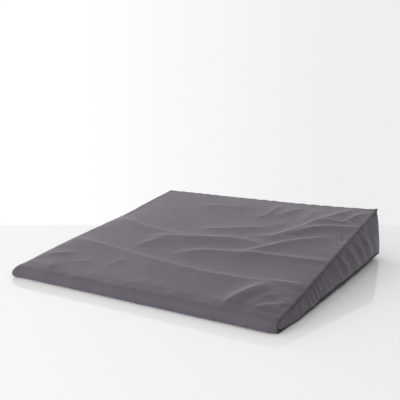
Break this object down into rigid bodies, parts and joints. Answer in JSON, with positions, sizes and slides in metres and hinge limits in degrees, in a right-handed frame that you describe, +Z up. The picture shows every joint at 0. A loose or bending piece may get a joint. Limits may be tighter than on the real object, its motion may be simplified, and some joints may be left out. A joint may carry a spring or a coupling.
{
  "type": "incline wedge mat",
  "caption": "Low foam incline wedge in a sewn woven cloth cover, with a blunt thin nose and a coil zip across its tall rear wall.",
  "frame": {"origin": "centre of the footprint, on the floor", "axes": "X along the width, +Y from the thin nose to the tall rear wall, +Z up"},
  "size_m": [0.6, 0.5755, 0.114],
  "materials": {
    "cover_cloth": "dark warm grey loose woven cloth, matte",
    "base_cloth": "near-black plain woven base cloth, matte",
    "foam": "open-cell polyurethane foam, cream, matte",
    "zip_tape": "black herringbone zip tape",
    "zip_coil": "black nylon filament",
    "zip_metal": "black lacquered zinc, satin"
  },
  "bodies": {
    "cover": {"foam_core": "foam", "cover_top_panel": "cover_cloth", "cover_right_gusset": "cover_cloth", "cover_left_gusset": "cover_cloth", "cover_rear_strip_upper": "cover_cloth", "cover_rear_strip_lower": "cover_cloth", "cover_base_panel": "base_cloth", "zip_tape_upper": "zip_tape", "zip_tape_lower": "zip_tape", "zip_coil_upper": "zip_coil", "zip_coil_lower": "zip_coil", "zip_top_stop_upper": "zip_metal", "zip_top_stop_lower": "zip_metal", "zip_bottom_stop": "zip_metal"},
    "slider": {"zip_slider": "zip_metal"},
    "pull": {"zip_pull": "zip_metal"}
  },
  "joints": [
    {"name": "zip_slide", "type": "slide", "parent": "cover", "child": "slider", "axis": [1, 0, 0], "range_m": [-0.526, 0], "deforming": ["zip_coil_upper", "zip_coil_lower"]},
    {"name": "pull_flip", "type": "hinge", "parent": "slider", "child": "pull", "pos_m": [0.263, 0.2884, 0.056], "axis": [0, 0, -1], "range_deg": [0, 180]}
  ]
}
